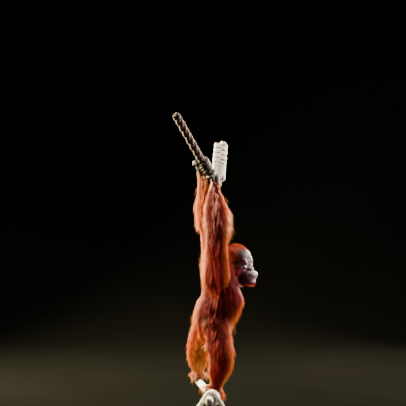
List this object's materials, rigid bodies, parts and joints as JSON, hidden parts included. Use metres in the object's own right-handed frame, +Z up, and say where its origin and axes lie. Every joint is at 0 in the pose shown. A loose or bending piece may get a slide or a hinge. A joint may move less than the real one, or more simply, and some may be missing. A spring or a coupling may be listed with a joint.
{
  "type": "orangutan",
  "caption": "Life-size orangutan stretched up between two cut ropes on a plain display stand, looking over its right side.",
  "frame": {"origin": "centre of the stand base's underside, on the floor", "axes": "+Z up from the floor towards the hands; +X the way the animal's body faces; +Y towards its left side"},
  "size_m": [0.62, 0.92, 2.0743],
  "materials": {
    "coat": "long red-orange hair",
    "bare_skin": "grey-brown bare skin, slightly waxy",
    "eye": "wet dark brown",
    "nail": "dull dark horn",
    "rope_dark": "weathered laid rope",
    "rope_pale": "sun-bleached laid rope",
    "stand": "satin black"
  },
  "bodies": {
    "root": {"head": "bare_skin", "neck": "coat", "torso": "coat", "ear_right": "bare_skin", "ear_left": "bare_skin", "eye_right": "eye", "eye_left": "eye", "upper_arm_right": "coat", "upper_arm_left": "coat", "forearm_right": "coat", "forearm_left": "coat", "hand_right": "bare_skin", "hand_left": "bare_skin", "thigh_right": "coat", "thigh_left": "coat", "shin_right": "coat", "shin_left": "coat", "foot_right": "bare_skin", "foot_left": "bare_skin", "rope_upper": "rope_dark", "rope_upper_far": "rope_pale", "rope_lower": "rope_pale", "rope_knot": "rope_pale", "stand_base": "stand", "stand_rod_front": "stand", "stand_rod_rear": "stand"}
  },
  "joints": []
}
